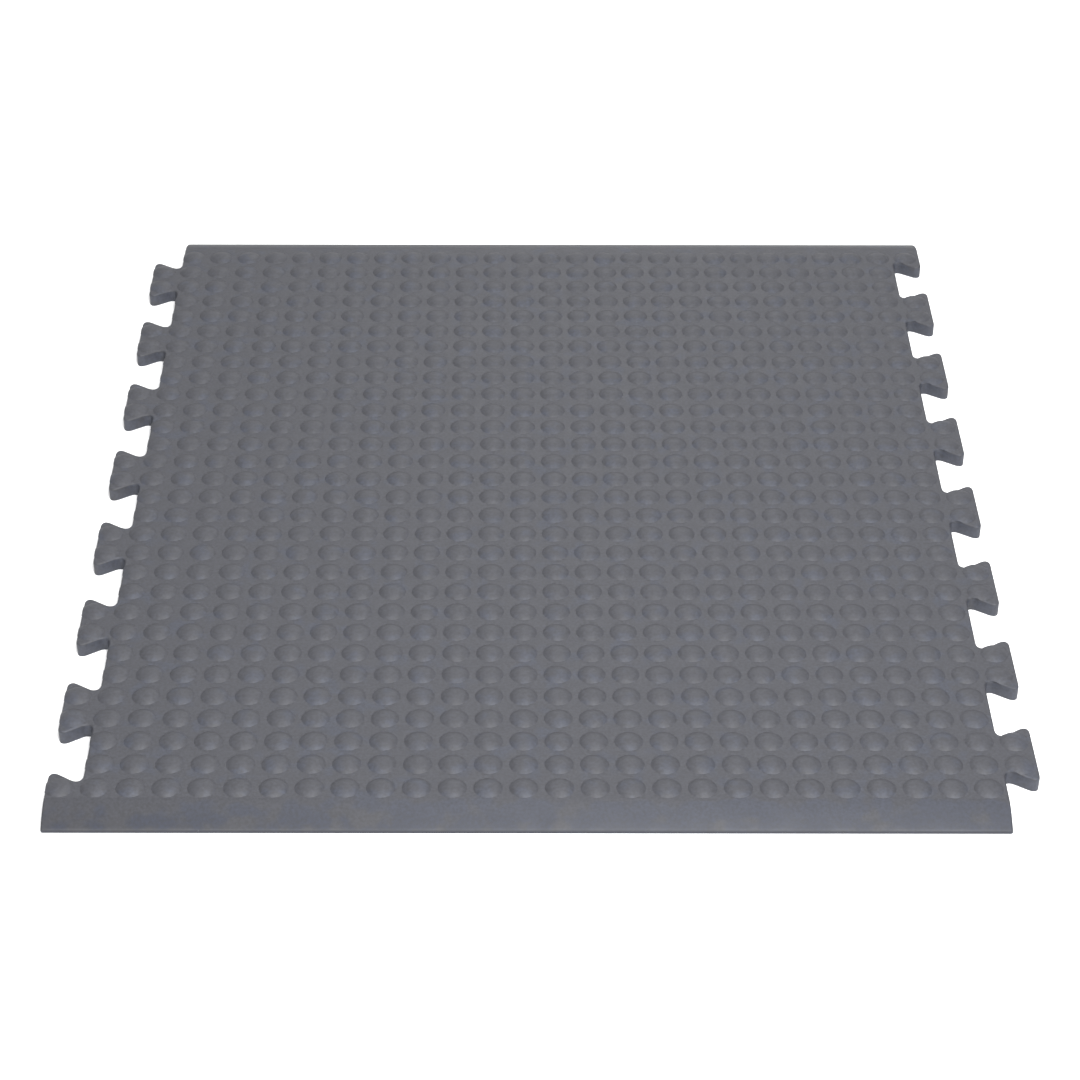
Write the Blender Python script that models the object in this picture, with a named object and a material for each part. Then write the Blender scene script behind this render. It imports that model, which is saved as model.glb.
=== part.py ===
"""Interlocking anti-fatigue floor mat: one moulded rubber tile, lying flat.

The tile is a thick deck covered in low round domes on a square lattice. Dovetail tabs stand
out from its left and right edges, and its front and back edges run down to a thin lip.
A tab on one side faces a notch on the other, so that tiles lock side by side.
Metres, +Z up, front edge towards -Y, origin under the middle of the tile.
"""

import math

import bmesh
import bpy

# The lattice of domes sets nearly every other size. It lies a little off the middle of the tile.
PITCH = 0.028575
ROWS = 30
COLUMNS = 26
LATTICE_SHIFT_X = -0.0022
LATTICE_SHIFT_Y = -0.0033

DECK_THICKNESS = 0.0127
LIP_THICKNESS = 0.0023
LENGTH = 32 * PITCH
BASE_WIDTH = 0.7402
RAMP_RUN = 0.0275
RAMP_CURVE = 1.6
RAMP_STEPS = 4
CORNER_RADIUS = 0.0020

# A dovetail tab, in plan. The flanks open outwards from a half width at the root.
# The tabs are placed from the middle of the lattice, along Y.
TAB_SPACING = 4 * PITCH
TABS_A_SIDE = 8
TAB_DEPTH = 0.0284
TAB_ROOT_HALF_WIDTH = 0.0182
FLANK_ANGLE = math.radians(32.5)
ROOT_RADIUS = 0.0062
TIP_RADIUS = 0.0056
ARC_STEPS = 3
LAST_TAB_Y = -15 * PITCH

# A dome, as a low six-sided pyramid of the real width and rise.
DOME_SIDES = 6
DOME_RADIUS = 0.0115
DOME_RISE = 0.0032
DOME_SINK = 0.0002
TAB_DOME_OFFSET = PITCH / 2

CUTTER_MARGIN = 0.010
RUBBER_COLOUR = (0.138, 0.141, 0.153, 1.0)
RUBBER_ROUGHNESS = 0.72


def clear_scene():
    """Removes every object, so that only the mat is left at the end."""
    for old in list(bpy.data.objects):
        bpy.data.objects.remove(old)


def add_object(name, mesh_maker):
    """Makes a mesh object at the origin from a bmesh that mesh_maker returns."""
    mesh = bpy.data.meshes.new(name)
    shape = mesh_maker()
    bmesh.ops.recalc_face_normals(shape, faces=shape.faces)
    shape.to_mesh(mesh)
    shape.free()
    made = bpy.data.objects.new(name, mesh)
    bpy.context.scene.collection.objects.link(made)
    return made


def hide_helper(helper):
    """Leaves a cutter or an added shape out of the model itself."""
    helper.hide_render = True
    helper.display_type = "WIRE"


def arc(centre_x, centre_y, radius, start, end, steps=ARC_STEPS):
    """Points along an arc, both ends included, from angle start to angle end in radians."""
    turns = [start + (end - start) * step / steps for step in range(steps + 1)]
    return [(centre_x + radius * math.cos(a), centre_y + radius * math.sin(a)) for a in turns]


def upper_flank(tab_y):
    """The back half of a left-hand tab, from the edge of the deck to the end of its tip corner."""
    edge_x = -BASE_WIDTH / 2
    spread = math.tan(FLANK_ANGLE)
    root_x = ROOT_RADIUS
    root_y = TAB_ROOT_HALF_WIDTH + root_x * spread + ROOT_RADIUS / math.cos(FLANK_ANGLE)
    tip_x = TAB_DEPTH - TIP_RADIUS
    tip_y = TAB_ROOT_HALF_WIDTH + tip_x * spread - TIP_RADIUS / math.cos(FLANK_ANGLE)
    quarter = math.pi / 2
    root = arc(edge_x - root_x, tab_y + root_y, ROOT_RADIUS, 0.0, -quarter - FLANK_ANGLE)
    tip = arc(edge_x - tip_x, tab_y + tip_y, TIP_RADIUS, quarter - FLANK_ANGLE, 2 * quarter)
    return root + tip


def mirrored_in_y(points, tab_y):
    """The same points on the other side of a tab's middle line, in the opposite order."""
    return [(x, 2 * tab_y - y) for x, y in reversed(points)]


def left_side(lattice_shift):
    """The outline down the left side: a plain corner, seven whole tabs and a tab cut by the lip."""
    edge_x = -BASE_WIDTH / 2
    half_length = LENGTH / 2
    quarter = math.pi / 2
    inset = CORNER_RADIUS
    points = arc(edge_x + inset, half_length - inset, inset, quarter, 2 * quarter)
    for index in reversed(range(TABS_A_SIDE)):
        tab_y = lattice_shift + LAST_TAB_Y + index * TAB_SPACING
        flank = upper_flank(tab_y)
        points += flank
        if index:
            points += mirrored_in_y(flank, tab_y)
    tip_x = edge_x - TAB_DEPTH
    points += arc(tip_x + inset, inset - half_length, inset, 2 * quarter, 3 * quarter)
    return points


def outline_prism():
    """The outline extruded well above the domes. The right side is a left one turned half round."""
    left = left_side(LATTICE_SHIFT_Y)
    right = [(-x, -y) for x, y in left_side(-LATTICE_SHIFT_Y)]
    shape = bmesh.new()
    corners = [shape.verts.new((x, y, 0.0)) for x, y in left + right]
    base = shape.faces.new(corners)
    raised = bmesh.ops.extrude_face_region(shape, geom=[base])["geom"]
    tops = [item for item in raised if isinstance(item, bmesh.types.BMVert)]
    bmesh.ops.translate(shape, verts=tops, vec=(0.0, 0.0, DECK_THICKNESS + CUTTER_MARGIN))
    return shape


def ramp_points():
    """The convex ramp from the deck down to the lip, as distance from the middle and height.

    It leaves the deck gently and grows steeper all the way to the lip.
    """
    run_end = LENGTH / 2
    drop = DECK_THICKNESS - LIP_THICKNESS
    points = []
    for step in range(RAMP_STEPS + 1):
        share = step / RAMP_STEPS
        points.append((run_end - RAMP_RUN * (1 - share), DECK_THICKNESS - drop * share ** RAMP_CURVE))
    return points


def side_profile_bar():
    """The front-to-back section, wider than the tile: a flat underside, the deck and both ramps."""
    ramp = ramp_points()
    last_y, last_z = ramp[-1]
    past_y = last_y + CUTTER_MARGIN
    back = ramp[:-1] + [(past_y, last_z), (past_y, 0.0)]
    front = [(-y, z) for y, z in reversed(back)]
    half_width = BASE_WIDTH / 2 + TAB_DEPTH + CUTTER_MARGIN
    shape = bmesh.new()
    corners = [shape.verts.new((-half_width, y, z)) for y, z in back + front]
    side = shape.faces.new(corners)
    drawn = bmesh.ops.extrude_face_region(shape, geom=[side])["geom"]
    far = [item for item in drawn if isinstance(item, bmesh.types.BMVert)]
    bmesh.ops.translate(shape, verts=far, vec=(2 * half_width, 0.0, 0.0))
    return shape


def dome_centres():
    """Every dome's place: the lattice on the deck, then two on each tab and one on each cut tab."""
    first_x = LATTICE_SHIFT_X - (COLUMNS - 1) * PITCH / 2
    first_y = LATTICE_SHIFT_Y - (ROWS - 1) * PITCH / 2
    centres = [
        (first_x + column * PITCH, first_y + row * PITCH)
        for column in range(COLUMNS)
        for row in range(ROWS)
    ]
    for index in range(TABS_A_SIDE):
        tab_y = LAST_TAB_Y + index * TAB_SPACING
        offsets = (TAB_DOME_OFFSET, -TAB_DOME_OFFSET) if index else (TAB_DOME_OFFSET,)
        for offset in offsets:
            centres.append((first_x - PITCH, LATTICE_SHIFT_Y + tab_y + offset))
            centres.append((first_x + COLUMNS * PITCH, LATTICE_SHIFT_Y - tab_y - offset))
    return centres


def dome_field():
    """All the domes in one mesh. Each foot lies just under the deck, so that it fuses with it."""
    shape = bmesh.new()
    foot_radius = DOME_RADIUS * (DOME_RISE + DOME_SINK) / DOME_RISE
    for x, y in dome_centres():
        made = bmesh.ops.create_cone(
            shape,
            cap_ends=True,
            segments=DOME_SIDES,
            radius1=foot_radius,
            radius2=0.0,
            depth=DOME_RISE + DOME_SINK,
        )
        middle_z = DECK_THICKNESS + (DOME_RISE - DOME_SINK) / 2
        bmesh.ops.translate(shape, verts=made["verts"], vec=(x, y, middle_z))
    return shape


def rubber():
    """Matt mid-grey moulded rubber."""
    material = bpy.data.materials.new("rubber")
    material.use_nodes = True
    surface = material.node_tree.nodes["Principled BSDF"]
    surface.inputs["Base Color"].default_value = RUBBER_COLOUR
    surface.inputs["Roughness"].default_value = RUBBER_ROUGHNESS
    surface.inputs["Metallic"].default_value = 0.0
    return material


def combine(target, helper, operation):
    """Joins or trims target with helper by a Boolean that stays on target."""
    modifier = target.modifiers.new(helper.name, "BOOLEAN")
    modifier.operation = operation
    modifier.object = helper
    hide_helper(helper)


def build_mat():
    """The whole tile, one closed body: a long bar with domes on it, cut to the outline."""
    mat = add_object("mat", side_profile_bar)
    combine(mat, add_object("domes", dome_field), "UNION")
    combine(mat, add_object("outline", outline_prism), "INTERSECT")
    mat.data.materials.append(rubber())
    return mat


clear_scene()
build_mat()
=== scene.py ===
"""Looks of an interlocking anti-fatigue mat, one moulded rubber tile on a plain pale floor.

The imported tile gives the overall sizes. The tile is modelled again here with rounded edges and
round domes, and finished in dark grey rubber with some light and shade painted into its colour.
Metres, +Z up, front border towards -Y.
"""

import logging
import math
from dataclasses import dataclass, field
from enum import Enum
from typing import Callable, Union

import bmesh
import bpy
from mathutils import Matrix, Vector


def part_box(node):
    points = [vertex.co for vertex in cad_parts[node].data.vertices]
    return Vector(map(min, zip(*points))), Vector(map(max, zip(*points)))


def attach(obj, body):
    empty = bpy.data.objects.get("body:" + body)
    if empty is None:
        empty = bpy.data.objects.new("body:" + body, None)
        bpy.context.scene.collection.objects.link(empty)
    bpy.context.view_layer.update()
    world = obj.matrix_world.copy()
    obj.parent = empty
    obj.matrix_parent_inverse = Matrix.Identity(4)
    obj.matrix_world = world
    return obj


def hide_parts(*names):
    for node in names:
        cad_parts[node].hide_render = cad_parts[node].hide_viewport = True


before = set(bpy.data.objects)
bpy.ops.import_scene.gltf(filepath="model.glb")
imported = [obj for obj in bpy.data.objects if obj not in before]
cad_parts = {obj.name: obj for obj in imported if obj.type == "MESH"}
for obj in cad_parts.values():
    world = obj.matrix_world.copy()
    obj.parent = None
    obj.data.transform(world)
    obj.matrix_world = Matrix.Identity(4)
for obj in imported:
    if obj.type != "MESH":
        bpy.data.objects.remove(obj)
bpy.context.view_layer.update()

TILE_NODE = "mat"
BODY = "root"

# Points closer than this count as one. Lines across the ramps are told apart more finely.
SAME_PLACE = 0.00002
SAME_LINE = SAME_PLACE / 4
LINE_DIGITS = 6

# How far up a normal points: at most on an upright side, at least on the top and on the flat deck.
UPRIGHT_LIFT = 0.01
TOP_LIFT = 0.5
LEVEL_LIFT = 0.9999

MeshElement = Union[bmesh.types.BMVert, bmesh.types.BMEdge, bmesh.types.BMFace]
Colour = tuple[float, float, float]

log = logging.getLogger("mat_scene")


class ElementKind(Enum):
    """What a selection in edit mode picks."""

    VERT = "verts"
    EDGE = "edges"
    FACE = "faces"


class JointSide(Enum):
    """The two sides that lock with the next tile. The value is the sign of X."""

    LEFT = -1
    RIGHT = 1


class EditSession:
    """Edit mode on one object, opened with nothing selected and closed at the end."""

    def __init__(self, piece: bpy.types.Object) -> None:
        """Keeps the object to edit.

        Args:
            piece: The mesh object to edit.
        """
        self.piece = piece

    def __enter__(self) -> "EditSession":
        """Makes the piece the only active object and opens edit mode.

        Returns:
            This session.
        """
        activate(self.piece)
        bpy.ops.object.mode_set(mode="EDIT")
        bpy.ops.mesh.select_all(action="DESELECT")
        return self

    def __exit__(self, *problem: object) -> None:
        """Goes back to object mode."""
        bpy.ops.object.mode_set(mode="OBJECT")

    def select(self, kind: ElementKind, wanted: Callable[[MeshElement], bool]) -> int:
        """Selects every vertex, edge or face that a test wants, and nothing else.

        Args:
            kind: What to pick.
            wanted: The test for one element.

        Returns:
            How many were selected.
        """
        bpy.ops.mesh.select_mode(type=kind.name)
        bpy.ops.mesh.select_all(action="DESELECT")
        mesh = bmesh.from_edit_mesh(self.piece.data)
        mesh.normal_update()
        chosen = [element for element in getattr(mesh, kind.value) if wanted(element)]
        for element in chosen:
            element.select_set(True)
        mesh.select_flush_mode()
        bmesh.update_edit_mesh(self.piece.data)
        return len(chosen)


def activate(piece: bpy.types.Object) -> None:
    """Makes one object the only selected one, and active.

    Args:
        piece: The object to work on next.
    """
    bpy.ops.object.select_all(action="DESELECT")
    piece.select_set(True)
    bpy.context.view_layer.objects.active = piece


def apply_boolean(piece: bpy.types.Object, tool: bpy.types.Object, operation: str) -> None:
    """Cuts or joins a piece with a tool, then removes the tool.

    Args:
        piece: The object that is changed.
        tool: The object that cuts it or is added to it.
        operation: INTERSECT, UNION or DIFFERENCE.
    """
    activate(piece)
    modifier = piece.modifiers.new(tool.name, "BOOLEAN")
    modifier.operation = operation
    modifier.solver = "EXACT"
    modifier.object = tool
    bpy.ops.object.modifier_apply(modifier=modifier.name)
    bpy.data.objects.remove(tool)


def apply_array(piece: bpy.types.Object, count: int, step: Vector) -> None:
    """Repeats a piece in a row.

    Args:
        piece: The object to repeat.
        count: How many there are in all.
        step: The move from one to the next.
    """
    activate(piece)
    modifier = piece.modifiers.new("row", "ARRAY")
    modifier.count = count
    modifier.use_relative_offset = False
    modifier.use_constant_offset = True
    modifier.constant_offset_displace = step
    bpy.ops.object.modifier_apply(modifier=modifier.name)


def settle(piece: bpy.types.Object) -> None:
    """Moves a piece's place, turn and size into its mesh."""
    activate(piece)
    bpy.ops.object.transform_apply(location=True, rotation=True, scale=True)


@dataclass
class Outline:
    """The tile seen from above: a rectangle with dovetail tabs along its left and right sides.

    The tabs' places are counted in pitches of the dome lattice, from its middle.
    """

    width: float
    length: float
    pitch: float
    shift_y: float
    first_tab: int = 13
    tab_spacing: int = 4
    cut_tab: int = 15
    tab_depth: float = 0.0284
    root_half_width: float = 0.0182
    flank_angle: float = math.radians(32.5)
    root_radius: float = 0.0062
    tip_radius: float = 0.0056
    corner_radius: float = 0.0018
    whole_tabs: int = 7
    arc_segments: int = 7
    straight_angle: float = math.radians(0.5)

    @property
    def tip_half_width(self) -> float:
        """Half the width of a tab's end, before its corners are rounded."""
        return self.root_half_width + self.tab_depth * math.tan(self.flank_angle)

    @property
    def tip_x(self) -> float:
        """How far the tabs' ends stand from the middle of the tile."""
        return self.width / 2 + self.tab_depth

    def tab_centres(self, side: JointSide) -> list[float]:
        """Finds the middles of the whole tabs on one side.

        Args:
            side: The side they stand on.

        Returns:
            The Y of each, from the end without a cut tab.
        """
        return [
            self.shift_y - side.value * (self.first_tab - self.tab_spacing * index) * self.pitch
            for index in range(self.whole_tabs)
        ]

    def cut_tab_centre(self, side: JointSide) -> float:
        """The Y of the middle line of the tab that the border cuts in half."""
        return self.shift_y + side.value * self.cut_tab * self.pitch

    def build(self, name: str, height: float) -> bpy.types.Object:
        """Models the outline as an upright prism.

        Args:
            name: The name of the new object.
            height: How high it stands above the floor.

        Returns:
            A closed prism with rounded corners in plan.
        """
        bpy.ops.object.select_all(action="DESELECT")
        bpy.ops.mesh.primitive_plane_add(size=1.0)
        piece = bpy.context.object
        piece.name = name
        with EditSession(piece) as edit:
            bpy.ops.mesh.select_all(action="SELECT")
            bpy.ops.transform.resize(value=(self.width, self.length, 1.0), center_override=(0, 0, 0))
            for side in JointSide:
                self._draw_tabs(edit, side)
            bpy.ops.mesh.select_all(action="SELECT")
            bpy.ops.mesh.dissolve_limited(angle_limit=self.straight_angle)
            bpy.ops.mesh.select_all(action="SELECT")
            bpy.ops.mesh.extrude_region_move(TRANSFORM_OT_translate={"value": (0, 0, height)})
            self._round_corners(edit)
            bpy.ops.mesh.select_all(action="SELECT")
            bpy.ops.mesh.normals_make_consistent(inside=False)
        return piece

    def _draw_tabs(self, edit: EditSession, side: JointSide) -> None:
        """Draws out one side's edge into tabs, and splays each into a dovetail.

        Args:
            edit: The open edit mode.
            side: The side to draw out.
        """
        edge_x = side.value * self.width / 2
        tip_x = side.value * self.tip_x
        cut_y = self.cut_tab_centre(side)
        cut_root_y = cut_y - side.value * self.root_half_width
        roots = [cut_root_y]
        for centre in self.tab_centres(side):
            roots += [centre - self.root_half_width, centre + self.root_half_width]
        for root in roots:
            bpy.ops.mesh.select_all(action="SELECT")
            bpy.ops.mesh.bisect(plane_co=(0, root, 0), plane_no=(0, 1, 0))

        def is_tab_root(edge: bmesh.types.BMEdge) -> bool:
            """Tells a stretch of the side's edge that a tab stands on.

            Args:
                edge: The edge to test.

            Returns:
                Whether it is one.
            """
            middle = (edge.verts[0].co + edge.verts[1].co) / 2
            if max(abs(end.co.x - edge_x) for end in edge.verts) > SAME_PLACE:
                return False
            on_tab = any(abs(middle.y - c) < self.root_half_width for c in self.tab_centres(side))
            return on_tab or (middle.y - cut_root_y) * side.value > 0

        edit.select(ElementKind.EDGE, is_tab_root)
        reach = (tip_x - edge_x, 0, 0)
        bpy.ops.mesh.extrude_region_move(TRANSFORM_OT_translate={"value": reach})
        splay = self.tip_half_width / self.root_half_width
        for centre in self.tab_centres(side):
            edit.select(
                ElementKind.VERT,
                lambda point: abs(point.co.x - tip_x) < SAME_PLACE
                and abs(point.co.y - centre) < self.root_half_width + SAME_PLACE,
            )
            bpy.ops.transform.resize(value=(1, splay, 1), center_override=(tip_x, centre, 0))
        edit.select(
            ElementKind.VERT,
            lambda point: (point.co - Vector((tip_x, cut_root_y, 0))).length < SAME_PLACE,
        )
        spread = side.value * (self.root_half_width - self.tip_half_width)
        bpy.ops.transform.translate(value=(0, spread, 0))

    def _round_corners(self, edit: EditSession) -> None:
        """Rounds the upright edges: the tabs' roots and tips, then the corners of the tile.

        Args:
            edit: The open edit mode.
        """
        half_corner = math.tan((math.pi / 2 - self.flank_angle) / 2)
        inner_y = self.length / 2 - SAME_PLACE

        def upright(edge: bmesh.types.BMEdge) -> bool:
            """Whether an edge stands upright."""
            one, other = edge.verts
            return (one.co.xy - other.co.xy).length < SAME_PLACE

        def beside(edge: bmesh.types.BMEdge, distance: float) -> bool:
            """Tells an upright edge that is not on a border, by its distance from the middle.

            Args:
                edge: The edge to test.
                distance: How far from the middle it should be, along X.

            Returns:
                Whether it is there.
            """
            point = edge.verts[0].co
            in_place = abs(abs(point.x) - distance) < SAME_PLACE
            return upright(edge) and in_place and abs(point.y) < inner_y

        def at_root(edge: bmesh.types.BMEdge) -> bool:
            """Whether an edge is at the root of a tab."""
            return beside(edge, self.width / 2)

        def at_tip(edge: bmesh.types.BMEdge) -> bool:
            """Whether an edge is at the end of a tab."""
            return beside(edge, self.tip_x)

        def at_corner(edge: bmesh.types.BMEdge) -> bool:
            """Whether an edge is a corner of the tile."""
            return upright(edge) and abs(edge.verts[0].co.y) > inner_y

        for wanted, reach in (
            (at_root, self.root_radius / half_corner),
            (at_tip, self.tip_radius / half_corner),
            (at_corner, self.corner_radius),
        ):
            edit.select(ElementKind.EDGE, wanted)
            bpy.ops.mesh.bevel(offset=reach, segments=self.arc_segments, affect="EDGES")


@dataclass
class Dome:
    """One low round dome, modelled ring by ring from its foot to its top."""

    radius: float
    rise: float
    sides: int = 18
    sink: float = 0.00015
    ring_radii: tuple[float, ...] = (1.0, 0.88, 0.66, 0.36)
    ring_heights: tuple[float, ...] = (0.0, 0.29, 0.66, 0.93)

    def build(self, name: str, foot: Vector) -> bpy.types.Object:
        """Models the dome as a closed shape whose foot lies just under the deck.

        Args:
            name: The name of the new object.
            foot: The middle of the dome's foot, on the deck.

        Returns:
            The dome.
        """
        flare = (self.ring_radii[0] - self.ring_radii[1]) / (self.ring_heights[1] * self.rise)
        foot_radius = self.radius * (1 + flare * self.sink)
        bpy.ops.object.select_all(action="DESELECT")
        bpy.ops.mesh.primitive_circle_add(
            vertices=self.sides,
            radius=foot_radius,
            fill_type="NGON",
            location=foot - Vector((0, 0, self.sink)),
        )
        piece = bpy.context.object
        piece.name = name
        settle(piece)
        with EditSession(piece):
            bpy.ops.mesh.select_all(action="SELECT")
            last_radius = foot_radius
            last_height = -self.sink
            for share, lift in zip(self.ring_radii[1:], self.ring_heights[1:]):
                radius = share * self.radius
                height = lift * self.rise
                step = (0, 0, height - last_height)
                bpy.ops.mesh.extrude_region_move(TRANSFORM_OT_translate={"value": step})
                shrink = radius / last_radius
                bpy.ops.transform.resize(value=(shrink, shrink, 1), center_override=foot)
                last_radius = radius
                last_height = height
            top = (0, 0, self.rise - last_height)
            bpy.ops.mesh.extrude_region_move(TRANSFORM_OT_translate={"value": top})
            bpy.ops.mesh.merge(type="CENTER")
            bpy.ops.mesh.select_all(action="SELECT")
            bpy.ops.mesh.normals_make_consistent(inside=False)
        return piece


@dataclass(frozen=True)
class Ramp:
    """The part of a value between low and high, stretched to run from start to end."""

    low: float
    high: float
    start: float = 0.0
    end: float = 1.0


@dataclass(frozen=True)
class Noise:
    """A noise pattern: roughly how many features fit in a metre, and how many finer layers."""

    scale: float
    detail: float


@dataclass(frozen=True)
class Specks:
    """Small round specks in some cells of a pattern.

    The cells are counted by the metre, and a speck's reach is a part of a cell's width. A speck
    is solid over a part of its reach, and some of the specks are fainter.
    """

    cells: float
    reach: float
    share: float
    solid_reach: float = 0.6
    solid_share: float = 0.5


@dataclass(frozen=True)
class RubberFinish:
    """Matt dark grey moulded rubber with bluish patches, fine grain, a few specks and painted light
    and shade.

    The front border's painted bluish sheen and its darker colours, painted as shade, both set in
    border_lead before the slope begins. The sheen is complete border_sheen_fade past its start,
    and the shade lip_shade_fade past it.
    """

    deck_colour: Colour = (0.0355, 0.0367, 0.0451)
    # The bluish colour of the random patches, also used for the painted bluish light and sheen.
    deck_patch_and_painted_light_colour: Colour = (0.0349, 0.0387, 0.0532)
    # Painted shade: the lip's colours are darker, so that the front slope, which faces the key
    # light, renders darker.
    lip_painted_shade_colour: Colour = (0.0272, 0.0278, 0.0340)
    lip_patch_light_and_shade_colour: Colour = (0.0180, 0.0213, 0.0342)
    # The dark colour of the specks and pores, also used for the painted shade on the rounded top
    # edge.
    speck_pore_and_rim_shade_colour: Colour = (0.0120, 0.0120, 0.0130)
    # The pale dust colour, also the colour of the painted glints.
    dust_and_glint_colour: Colour = (0.1100, 0.1100, 0.1130)
    border_lead: float = 0.002
    border_sheen_fade: float = 0.006
    lip_shade_fade: float = 0.020
    patches: Noise = Noise(55.0, 1.5)
    patch_edge: Ramp = Ramp(0.56, 0.70)
    # Painted light: faces that stand upright or turn to the front are tinted bluish, as a cool light
    # from the front would tint them.
    painted_blue_light_upright: Ramp = Ramp(0.6, 0.2, 0.0, 0.20)
    painted_blue_light_to_front: Ramp = Ramp(-0.06, -0.36, 0.0, 0.09)
    # Painted sheen: the front border is tinted bluish, as a reflection would tint it, except at its
    # left end.
    border_sheen_from_left: Ramp = Ramp(-0.33, -0.10, 0.0, 0.15)
    pores: Noise = Noise(400.0, 2.0)
    pore_darkness: Ramp = Ramp(0.3, 0.7, 0.0, 0.50)
    # Painted shade: these ramps find the rounded top edge, which is painted darker as a thin dark
    # line.
    rim_shade_below_top: Ramp = Ramp(0.82, 0.66)
    rim_shade_above_side: Ramp = Ramp(0.10, 0.30, 0.0, 0.30)
    dark_specks: Specks = Specks(70.0, 0.050, 0.03)
    # Pale dust specks, which also stand in for small bright glints, a painted highlight.
    pale_dust_and_glints: Specks = Specks(95.0, 0.035, 0.03)
    sheen: float = 0.50
    wear: Noise = Noise(60.0, 3.0)
    roughness: Ramp = Ramp(0.3, 0.7, 0.57, 0.63)
    grain: Noise = Noise(450.0, 3.0)
    grain_depth: float = 0.00012
    grain_strength: float = 0.6

    def material(self, border_start: float) -> bpy.types.Material:
        """Makes the rubber.

        Args:
            border_start: How far from the middle, along Y, the bare borders begin.

        Returns:
            The finished material.
        """
        material = bpy.data.materials.new("moulded_rubber")
        material.use_nodes = True
        tree = material.node_tree
        surface = tree.nodes["Principled BSDF"]
        surface.inputs["Metallic"].default_value = 0.0
        surface.inputs["Specular IOR Level"].default_value = self.sheen
        coordinates = tree.nodes.new("ShaderNodeTexCoord")
        place = coordinates.outputs["Object"]
        at = self._axes(tree, place)
        facing = self._axes(tree, coordinates.outputs["Normal"])
        lead = self.border_lead - border_start
        # Painted sheen: a bluish tint on the front border, set by its place along Y.
        border = self._ramp(tree, at["Y"], Ramp(lead, -border_start - self.border_sheen_fade))
        # Painted shade: the front slope is blended to the darker lip colours.
        lip_shade_share = self._ramp(tree, at["Y"], Ramp(lead, -border_start - self.lip_shade_fade))
        # The bluish share holds the random patches and the painted bluish light and sheen.
        bluish_patch_and_light_share = self._blue_patches_and_painted_light(tree, place, facing, self._painted_border_sheen(tree, at["X"], border))
        deck = self._blend(tree, bluish_patch_and_light_share, self.deck_colour, self.deck_patch_and_painted_light_colour)
        shaded_lip = self._blend(tree, bluish_patch_and_light_share, self.lip_painted_shade_colour, self.lip_patch_light_and_shade_colour)
        colour = self._blend(tree, lip_shade_share, deck, shaded_lip)
        colour = self._blend(tree, self._pores(tree, place), colour, self.speck_pore_and_rim_shade_colour)
        # Painted shade: darkens the rounded top edge into a thin dark line.
        colour = self._blend(tree, self._painted_rim_shade(tree, facing["Z"]), colour, self.speck_pore_and_rim_shade_colour)
        colour = self._specks(tree, place, colour)
        tree.links.new(colour, surface.inputs["Base Color"])
        tree.links.new(self._roughness(tree, place), surface.inputs["Roughness"])
        tree.links.new(self._grain(tree, place), surface.inputs["Normal"])
        return material

    def _noise(
        self, tree: bpy.types.NodeTree, place: bpy.types.NodeSocket, noise: Noise
    ) -> bpy.types.NodeSocket:
        """Adds a noise pattern.

        Args:
            tree: The material's nodes.
            place: The coordinates it is read at.
            noise: The pattern.

        Returns:
            The noise value, from 0 to 1.
        """
        node = tree.nodes.new("ShaderNodeTexNoise")
        node.inputs["Scale"].default_value = noise.scale
        node.inputs["Detail"].default_value = noise.detail
        tree.links.new(place, node.inputs["Vector"])
        return node.outputs["Fac"]

    def _ramp(
        self, tree: bpy.types.NodeTree, value: bpy.types.NodeSocket, ramp: Ramp
    ) -> bpy.types.NodeSocket:
        """Stretches a value by a ramp, and holds it at the ramp's ends.

        Args:
            tree: The material's nodes.
            value: The value to stretch.
            ramp: How it is stretched.

        Returns:
            The stretched value.
        """
        node = tree.nodes.new("ShaderNodeMapRange")
        node.inputs["From Min"].default_value = ramp.low
        node.inputs["From Max"].default_value = ramp.high
        node.inputs["To Min"].default_value = ramp.start
        node.inputs["To Max"].default_value = ramp.end
        tree.links.new(value, node.inputs["Value"])
        return node.outputs["Result"]

    def _blend(
        self, tree: bpy.types.NodeTree, share: bpy.types.NodeSocket,
        first: Union[Colour, bpy.types.NodeSocket], second: Union[Colour, bpy.types.NodeSocket],
    ) -> bpy.types.NodeSocket:
        """Mixes two colours.

        Args:
            tree: The material's nodes.
            share: How much of the second colour there is.
            first: A colour or the output of another node.
            second: A colour or the output of another node.

        Returns:
            The mixed colour.
        """
        mix = tree.nodes.new("ShaderNodeMix")
        mix.data_type = "RGBA"
        tree.links.new(share, mix.inputs["Factor"])
        for name, colour in (("A", first), ("B", second)):
            socket = next(s for s in mix.inputs if s.name == name and s.type == "RGBA")
            if isinstance(colour, tuple):
                socket.default_value = (*colour, 1.0)
            else:
                tree.links.new(colour, socket)
        return next(s for s in mix.outputs if s.type == "RGBA")

    def _math(
        self, tree: bpy.types.NodeTree, operation: str,
        first: bpy.types.NodeSocket, second: bpy.types.NodeSocket,
    ) -> bpy.types.NodeSocket:
        """Joins two values into their sum or their product.

        Args:
            tree: The material's nodes.
            operation: ADD or MULTIPLY.
            first: The output of another node.
            second: The output of another node.

        Returns:
            The result.
        """
        node = tree.nodes.new("ShaderNodeMath")
        node.operation = operation
        for socket, value in zip(node.inputs, (first, second)):
            tree.links.new(value, socket)
        return node.outputs["Value"]

    def _axes(
        self, tree: bpy.types.NodeTree, vector: bpy.types.NodeSocket
    ) -> dict[str, bpy.types.NodeSocket]:
        """Splits a vector.

        Args:
            tree: The material's nodes.
            vector: The output to split.

        Returns:
            Its parts, by axis name.
        """
        split = tree.nodes.new("ShaderNodeSeparateXYZ")
        tree.links.new(vector, split.inputs["Vector"])
        return {axis: split.outputs[axis] for axis in "XYZ"}

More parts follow.
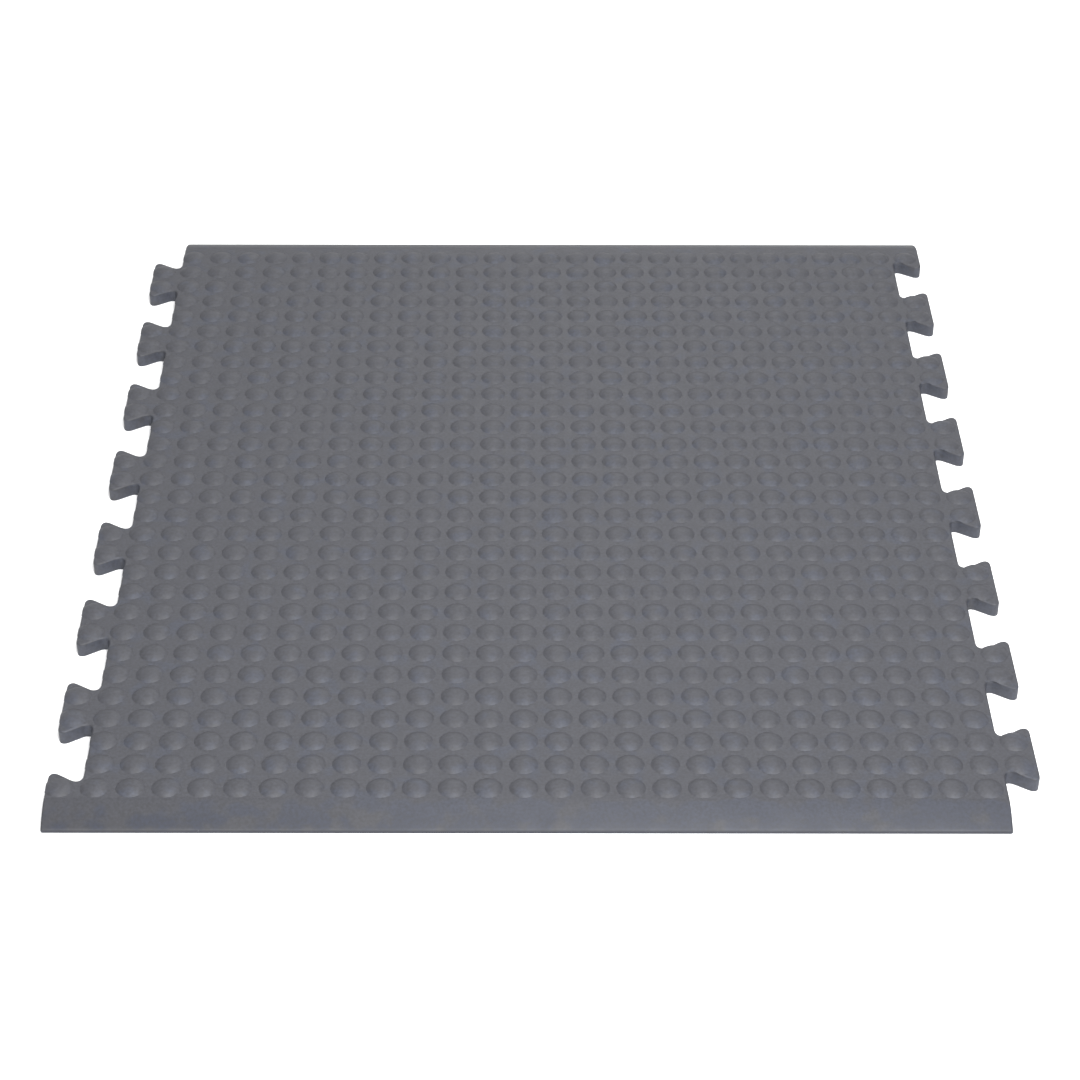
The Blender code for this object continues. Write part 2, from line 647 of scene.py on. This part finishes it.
    def _painted_border_sheen(
        self, tree: bpy.types.NodeTree, along: bpy.types.NodeSocket, border: bpy.types.NodeSocket
    ) -> bpy.types.NodeSocket:
        """How much bluer the front border is, as a painted sheen, except at its left end."""
        from_left = self._ramp(tree, along, self.border_sheen_from_left)
        return self._math(tree, "MULTIPLY", border, from_left)

    def _blue_patches_and_painted_light(
        self, tree: bpy.types.NodeTree, place: bpy.types.NodeSocket,
        facing: dict[str, bpy.types.NodeSocket], border_sheen_share: bpy.types.NodeSocket,
    ) -> bpy.types.NodeSocket:
        """How bluish the rubber is: in a few patches, and, as painted light, more where it faces
        front or sideways.

        Args:
            tree: The material's nodes.
            place: The coordinates it is read at.
            facing: The parts of the surface's direction, by axis name.
            border_sheen_share: The front border's painted sheen, added to the patches there.

        Returns:
            The share of the bluish colour, from 0 to 1.
        """
        # Painted light: a bluish tint on upright and front-facing faces stands in for a cool light
        # from the front.
        upright = self._ramp(tree, facing["Z"], self.painted_blue_light_upright)
        painted_light_to_front = self._ramp(tree, facing["Y"], self.painted_blue_light_to_front)
        total = self._math(tree, "ADD", self._noise(tree, place, self.patches), border_sheen_share)
        for part in (upright, painted_light_to_front):
            total = self._math(tree, "ADD", total, part)
        return self._ramp(tree, total, self.patch_edge)

    def _pores(self, tree: bpy.types.NodeTree, place: bpy.types.NodeSocket) -> bpy.types.NodeSocket:
        """How much the fine pores of the rubber darken it."""
        return self._ramp(tree, self._noise(tree, place, self.pores), self.pore_darkness)

    def _painted_rim_shade(self, tree: bpy.types.NodeTree, lift: bpy.types.NodeSocket) -> bpy.types.NodeSocket:
        """Finds the rounded edge above the upright sides, where shade is painted as a dark line.

        Args:
            tree: The material's nodes.
            lift: How far up the surface faces.

        Returns:
            How much painted shade darkens it there.
        """
        shaded_below_top = self._ramp(tree, lift, self.rim_shade_below_top)
        shaded_above_side = self._ramp(tree, lift, self.rim_shade_above_side)
        return self._math(tree, "MULTIPLY", shaded_below_top, shaded_above_side)

    def _specks(
        self, tree: bpy.types.NodeTree, place: bpy.types.NodeSocket, colour: bpy.types.NodeSocket
    ) -> bpy.types.NodeSocket:
        """Lays sparse dark specks and pale dust over a colour; the pale dust also stands in for
        small glints, as painted highlights.

        Args:
            tree: The material's nodes.
            place: The coordinates they are read at.
            colour: The colour below them.

        Returns:
            The colour with the specks.
        """
        for specks, tint in (
            (self.dark_specks, self.speck_pore_and_rim_shade_colour),
            (self.pale_dust_and_glints, self.dust_and_glint_colour),
        ):
            cells = tree.nodes.new("ShaderNodeTexVoronoi")
            cells.inputs["Scale"].default_value = specks.cells
            tree.links.new(place, cells.inputs["Vector"])
            fade = Ramp(specks.reach, specks.reach * specks.solid_reach)
            near = self._ramp(tree, cells.outputs["Distance"], fade)
            tone = tree.nodes.new("ShaderNodeSeparateColor")
            tree.links.new(cells.outputs["Color"], tone.inputs["Color"])
            pick = Ramp(specks.share, specks.share * specks.solid_share)
            rare = self._ramp(tree, tone.outputs["Red"], pick)
            colour = self._blend(tree, self._math(tree, "MULTIPLY", near, rare), colour, tint)
        return colour

    def _roughness(
        self, tree: bpy.types.NodeTree, place: bpy.types.NodeSocket
    ) -> bpy.types.NodeSocket:
        """A matt skin that is slightly smoother in places."""
        return self._ramp(tree, self._noise(tree, place, self.wear), self.roughness)

    def _grain(self, tree: bpy.types.NodeTree, place: bpy.types.NodeSocket) -> bpy.types.NodeSocket:
        """Adds the fine pebbled grain of the mould, as bump.

        Args:
            tree: The material's nodes.
            place: The coordinates it is read at.

        Returns:
            The direction of the grained surface.
        """
        bump = tree.nodes.new("ShaderNodeBump")
        bump.inputs["Strength"].default_value = self.grain_strength
        bump.inputs["Distance"].default_value = self.grain_depth
        tree.links.new(self._noise(tree, place, self.grain), bump.inputs["Height"])
        return bump.outputs["Normal"]


@dataclass
class RubberTile:
    """The whole tile: a deck with ramped borders, tabs and domes, all one piece of rubber."""

    low: Vector
    high: Vector
    pitch: float = 0.028575
    rows: int = 30
    columns: int = 26
    lattice_shift: tuple[float, float] = (-0.0022, -0.0033)
    dome_radius: float = 0.0119
    dome_rise: float = 0.0032
    lip_thickness: float = 0.0023
    ramp_run: float = 0.0275
    ramp_curve: float = 1.6
    ramp_steps: int = 8
    edge_rounding: float = 0.0016
    edge_segments: int = 3
    smooth_angle: float = math.radians(40)
    trim_height: float = 0.040
    finish: RubberFinish = field(default_factory=RubberFinish)

    @property
    def deck(self) -> float:
        """The height of the flat deck between the domes."""
        return self.high.z - self.dome_rise

    @property
    def ramp_start(self) -> float:
        """How far from the middle the borders begin to slope."""
        return self.high.y - self.ramp_run

    def outline(self) -> Outline:
        """Sizes the tile's outline to the frame.

        Returns:
            The outline. Its width is the width between the roots of the tabs.
        """
        return Outline(
            width=self.high.x - self.low.x - 2 * Outline.tab_depth,
            length=self.high.y - self.low.y,
            pitch=self.pitch,
            shift_y=self.lattice_shift[1],
        )

    def build(self) -> bpy.types.Object:
        """Models and dresses the tile.

        Returns:
            The finished tile.
        """
        outline = self.outline()
        tile = outline.build("rubber_tile", self.deck)
        self._shape_ramps(tile)
        self._round_top_edges(tile)
        domes = self._dome_field(outline)
        apply_boolean(domes, outline.build("dome_trimmer", self.trim_height), "INTERSECT")
        apply_boolean(tile, domes, "UNION")
        self._shade(tile)
        tile.data.materials.clear()
        tile.data.materials.append(self.finish.material(self.ramp_start))
        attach(tile, BODY)
        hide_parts(TILE_NODE)
        return tile

    def _ramp_drop(self, distance: float) -> float:
        """How far the border lies below the deck, at a distance from the middle along Y."""
        share = max(0.0, distance - self.ramp_start) / self.ramp_run
        return (self.deck - self.lip_thickness) * share ** self.ramp_curve

    def _shape_ramps(self, tile: bpy.types.Object) -> None:
        """Slices both borders across, then lowers each line of points to the ramp.

        Args:
            tile: The tile as an upright prism.
        """
        with EditSession(tile) as edit:
            for step in range(self.ramp_steps):
                distance = self.ramp_start + self.ramp_run * step / self.ramp_steps
                for sign in (-1, 1):
                    bpy.ops.mesh.select_all(action="SELECT")
                    bpy.ops.mesh.bisect(plane_co=(0, sign * distance, 0), plane_no=(0, 1, 0))
            mesh = bmesh.from_edit_mesh(tile.data)
            on_top = [abs(v.co.y) for v in mesh.verts if v.co.z > self.deck - SAME_PLACE]
            on_ramps = [y for y in on_top if y > self.ramp_start + SAME_PLACE]
            for line in sorted({round(y, LINE_DIGITS) for y in on_ramps}):
                edit.select(
                    ElementKind.VERT,
                    lambda point: abs(abs(point.co.y) - line) < SAME_LINE
                    and point.co.z > self.deck - SAME_PLACE,
                )
                bpy.ops.transform.translate(value=(0, 0, -self._ramp_drop(line)))

    def _round_top_edges(self, tile: bpy.types.Object) -> None:
        """Rounds the edge where the top meets the upright sides, all round.

        Args:
            tile: The tile with its ramps, before it has domes.
        """

        def is_rim(edge: bmesh.types.BMEdge) -> bool:
            """Whether a top face and an upright side meet at an edge."""
            lifts = sorted(face.normal.z for face in edge.link_faces)
            return len(lifts) == 2 and abs(lifts[0]) < UPRIGHT_LIFT and lifts[1] > TOP_LIFT

        with EditSession(tile) as edit:
            edit.select(ElementKind.EDGE, is_rim)
            bpy.ops.mesh.bevel(
                offset=self.edge_rounding,
                segments=self.edge_segments,
                affect="EDGES",
                clamp_overlap=False,
            )

    def _dome_field(self, outline: Outline) -> bpy.types.Object:
        """All the domes as one object: the lattice on the deck, and those on the tabs.

        Args:
            outline: The tile's outline, for the places of the tabs.

        Returns:
            The domes, joined.
        """
        dome = Dome(self.dome_radius, self.dome_rise)
        first_x = self.lattice_shift[0] - (self.columns - 1) * self.pitch / 2
        last_x = first_x + (self.columns - 1) * self.pitch
        first_y = self.lattice_shift[1] - (self.rows - 1) * self.pitch / 2
        field_piece = dome.build("domes", Vector((first_x, first_y, self.deck)))
        apply_array(field_piece, self.columns, Vector((self.pitch, 0, 0)))
        apply_array(field_piece, self.rows, Vector((0, self.pitch, 0)))
        groups = [field_piece]
        tab_columns = {JointSide.LEFT: first_x - self.pitch, JointSide.RIGHT: last_x + self.pitch}
        whole = outline.whole_tabs
        for side, tab_x in tab_columns.items():
            cut_y = outline.cut_tab_centre(side)
            inner = Vector((tab_x, cut_y - side.value * self.pitch / 2, self.deck))
            to_outer = side.value * (outline.tab_spacing - 1) * self.pitch
            outer = Vector((tab_x, inner.y - to_outer, self.deck))
            step = Vector((0, -side.value * outline.tab_spacing * self.pitch, 0))
            for name, foot, count in (("inner", inner, whole + 1), ("outer", outer, whole)):
                row = dome.build(f"tab_domes_{side.name.lower()}_{name}", foot)
                apply_array(row, count, step)
                groups.append(row)
        bpy.ops.object.select_all(action="DESELECT")
        for group in groups:
            group.select_set(True)
        bpy.context.view_layer.objects.active = field_piece
        bpy.ops.object.join()
        return field_piece

    def _shade(self, tile: bpy.types.Object) -> None:
        """Shades the tile smooth, but keeps the flat deck crisp round each dome's foot.

        Args:
            tile: The tile with its domes.
        """
        level = self.deck - SAME_PLACE

        def is_deck(face: bmesh.types.BMFace) -> bool:
            """Whether a face is part of the flat deck."""
            return face.normal.z > LEVEL_LIFT and face.calc_center_median().z > level

        def bounds_deck(edge: bmesh.types.BMEdge) -> bool:
            """Whether the flat deck ends at an edge."""
            flat = [is_deck(face) for face in edge.link_faces]
            return any(flat) and not all(flat)

        with EditSession(tile) as edit:
            edit.select(ElementKind.EDGE, bounds_deck)
            bpy.ops.mesh.mark_sharp()
        activate(tile)
        bpy.ops.object.shade_smooth_by_angle(angle=self.smooth_angle, keep_sharp_edges=True)


@dataclass
class SoftBox:
    """A square soft light that faces the middle of the tile."""

    name: str
    place: Vector
    size: float
    power: float

    def build(self) -> None:
        """Makes the light."""
        bpy.ops.object.select_all(action="DESELECT")
        aim = self.place.to_track_quat("Z", "Y").to_euler()
        bpy.ops.object.light_add(type="AREA", location=self.place, rotation=aim)
        lamp = bpy.context.object
        lamp.name = self.name
        lamp.data.size = self.size
        lamp.data.energy = self.power


@dataclass
class Studio:
    """A plain white floor, a pale surround and four soft lights."""

    floor_radius: float = 30.0
    floor_sides: int = 64
    floor_colour: Colour = (0.90, 0.90, 0.90)
    floor_roughness: float = 0.9
    floor_sheen: float = 0.1
    surround_colour: Colour = (1.0, 1.0, 1.0)
    surround_strength: float = 0.91
    lights: tuple[SoftBox, ...] = (
        SoftBox("back_light", Vector((0.15, 2.00, 1.47)), 1.0, 11.5),
        SoftBox("key_light", Vector((0.66, -1.90, 2.50)), 1.0, 124.0),
        SoftBox("top_light", Vector((0.10, 0.00, 2.00)), 1.0, 17.0),
        SoftBox("low_light", Vector((0.20, -2.60, 1.30)), 1.0, 30.6),
    )

    def build(self) -> None:
        """Makes the floor, the surround and the lights."""
        self._floor()
        self._surround()
        for light in self.lights:
            light.build()
        bpy.context.scene.view_settings.view_transform = "Standard"

    def _floor(self) -> None:
        """A wide round floor just under the tile."""
        bpy.ops.object.select_all(action="DESELECT")
        bpy.ops.mesh.primitive_circle_add(
            vertices=self.floor_sides,
            radius=self.floor_radius,
            fill_type="NGON",
            location=(0, 0, 0),
        )
        floor = bpy.context.object
        floor.name = "studio_floor"
        material = bpy.data.materials.new("white_floor")
        material.use_nodes = True
        surface = material.node_tree.nodes["Principled BSDF"]
        surface.inputs["Base Color"].default_value = (*self.floor_colour, 1.0)
        surface.inputs["Roughness"].default_value = self.floor_roughness
        surface.inputs["Specular IOR Level"].default_value = self.floor_sheen
        floor.data.materials.append(material)

    def _surround(self) -> None:
        """An even pale light from all round."""
        world = bpy.data.worlds.new("pale_surround")
        world.use_nodes = True
        background = world.node_tree.nodes["Background"]
        background.inputs["Color"].default_value = (*self.surround_colour, 1.0)
        background.inputs["Strength"].default_value = self.surround_strength
        bpy.context.scene.world = world


@dataclass
class PhotoCamera:
    """The camera that took the photograph: in front of the tile, looking down at it."""

    place: Vector = field(default_factory=lambda: Vector((-0.0243, -2.0383, 1.4562)))
    pitch_down: float = math.radians(36.455)
    roll: float = math.radians(0.064)
    lens: float = 90.2
    sensor_width: float = 36.0
    shift_x: float = 0.0238

    def build(self) -> bpy.types.Object:
        """Makes the camera and gives it to the scene.

        Returns:
            The camera.
        """
        bpy.ops.object.select_all(action="DESELECT")
        tilt = Matrix.Rotation(math.pi / 2 - self.pitch_down, 3, "X")
        turn = (tilt @ Matrix.Rotation(self.roll, 3, "Z")).to_euler()
        bpy.ops.object.camera_add(location=self.place, rotation=turn)
        camera = bpy.context.object
        camera.name = "photo_camera"
        camera.data.lens = self.lens
        camera.data.sensor_width = self.sensor_width
        camera.data.shift_x = self.shift_x
        bpy.context.scene.camera = camera
        return camera


def main() -> None:
    """Builds the camera, the tile and the studio, in that order."""
    logging.basicConfig(level=logging.INFO, format="%(message)s")
    PhotoCamera().build()
    low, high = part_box(TILE_NODE)
    tile = RubberTile(low, high).build()
    log.info("%s: %d faces", tile.name, len(tile.data.polygons))
    Studio().build()


if __name__ == "__main__":
    main()
